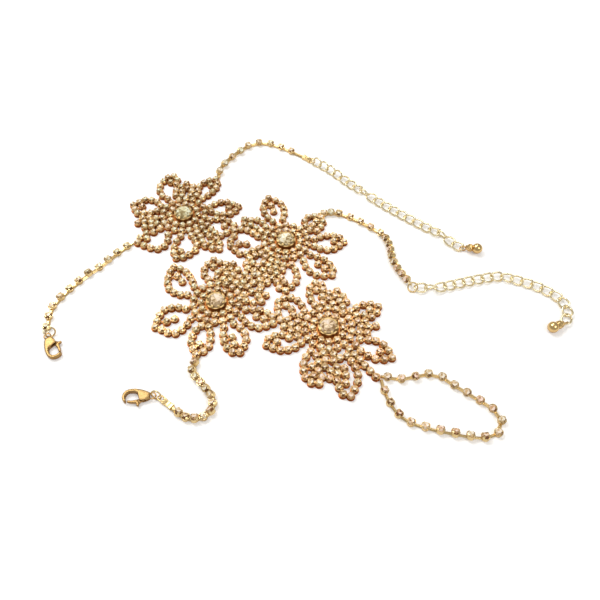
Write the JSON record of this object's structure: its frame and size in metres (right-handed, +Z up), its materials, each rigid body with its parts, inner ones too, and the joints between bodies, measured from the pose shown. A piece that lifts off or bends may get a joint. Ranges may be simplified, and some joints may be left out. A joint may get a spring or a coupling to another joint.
{
  "type": "rhinestone hand chain bracelet",
  "caption": "Hand chain bracelet of rhinestone flowers, with a finger loop and two pairs of stone chains that fasten with lobster clasps and link extenders.",
  "frame": {"origin": "centre of the bounding box of the laid-out piece, on the surface it lies on", "axes": "+Z up out of the surface, stones facing +Z; +X along the longest extent, from the forearm clasp to the wrist drop; +Y towards the forearm flower's far side"},
  "size_m": [0.2114, 0.1563, 0.0045],
  "materials": {
    "gold": "polished gold tone",
    "pave": "gold tone cup settings filled with champagne stones",
    "crystal": "faceted champagne stone"
  },
  "bodies": {
    "bracelet": {"flower_forearm": "pave", "flower_wrist_right": "pave", "flower_wrist_left": "pave", "flower_knuckle": "pave", "centre_stone_forearm": "crystal", "centre_stone_wrist_right": "crystal", "centre_stone_wrist_left": "crystal", "centre_stone_knuckle": "crystal", "forearm_clasp_chain": "pave", "forearm_extender_chain": "pave", "wrist_clasp_chain": "pave", "wrist_extender_chain": "pave", "finger_loop": "pave", "forearm_extender_links_1": "gold", "forearm_extender_links_2": "gold", "forearm_extender_links_3": "gold", "forearm_drop": "gold", "wrist_extender_links_1": "gold", "wrist_extender_links_2": "gold", "wrist_extender_links_3": "gold", "wrist_drop": "gold", "forearm_clasp_ring": "gold", "wrist_clasp_ring": "gold", "wrist_extender_ring": "gold", "forearm_extender_connector": "gold", "wrist_clasp_connector": "gold", "forearm_clasp_body": "gold", "wrist_clasp_body": "gold"},
    "forearm_lever": {"forearm_clasp_lever": "gold"},
    "wrist_lever": {"wrist_clasp_lever": "gold"}
  },
  "joints": [
    {"name": "forearm_lever_hinge", "type": "hinge", "parent": "bracelet", "child": "forearm_lever", "pos_m": [-0.0999, -0.03729, 0.0011], "axis": [0, 0, 1], "range_deg": [-25, 0], "stiffness_Nm_per_rad": 0.0005},
    {"name": "wrist_lever_hinge", "type": "hinge", "parent": "bracelet", "child": "wrist_lever", "pos_m": [-0.06177, -0.06178, 0.0011], "axis": [0, 0, 1], "range_deg": [-25, 0], "stiffness_Nm_per_rad": 0.0005}
  ]
}
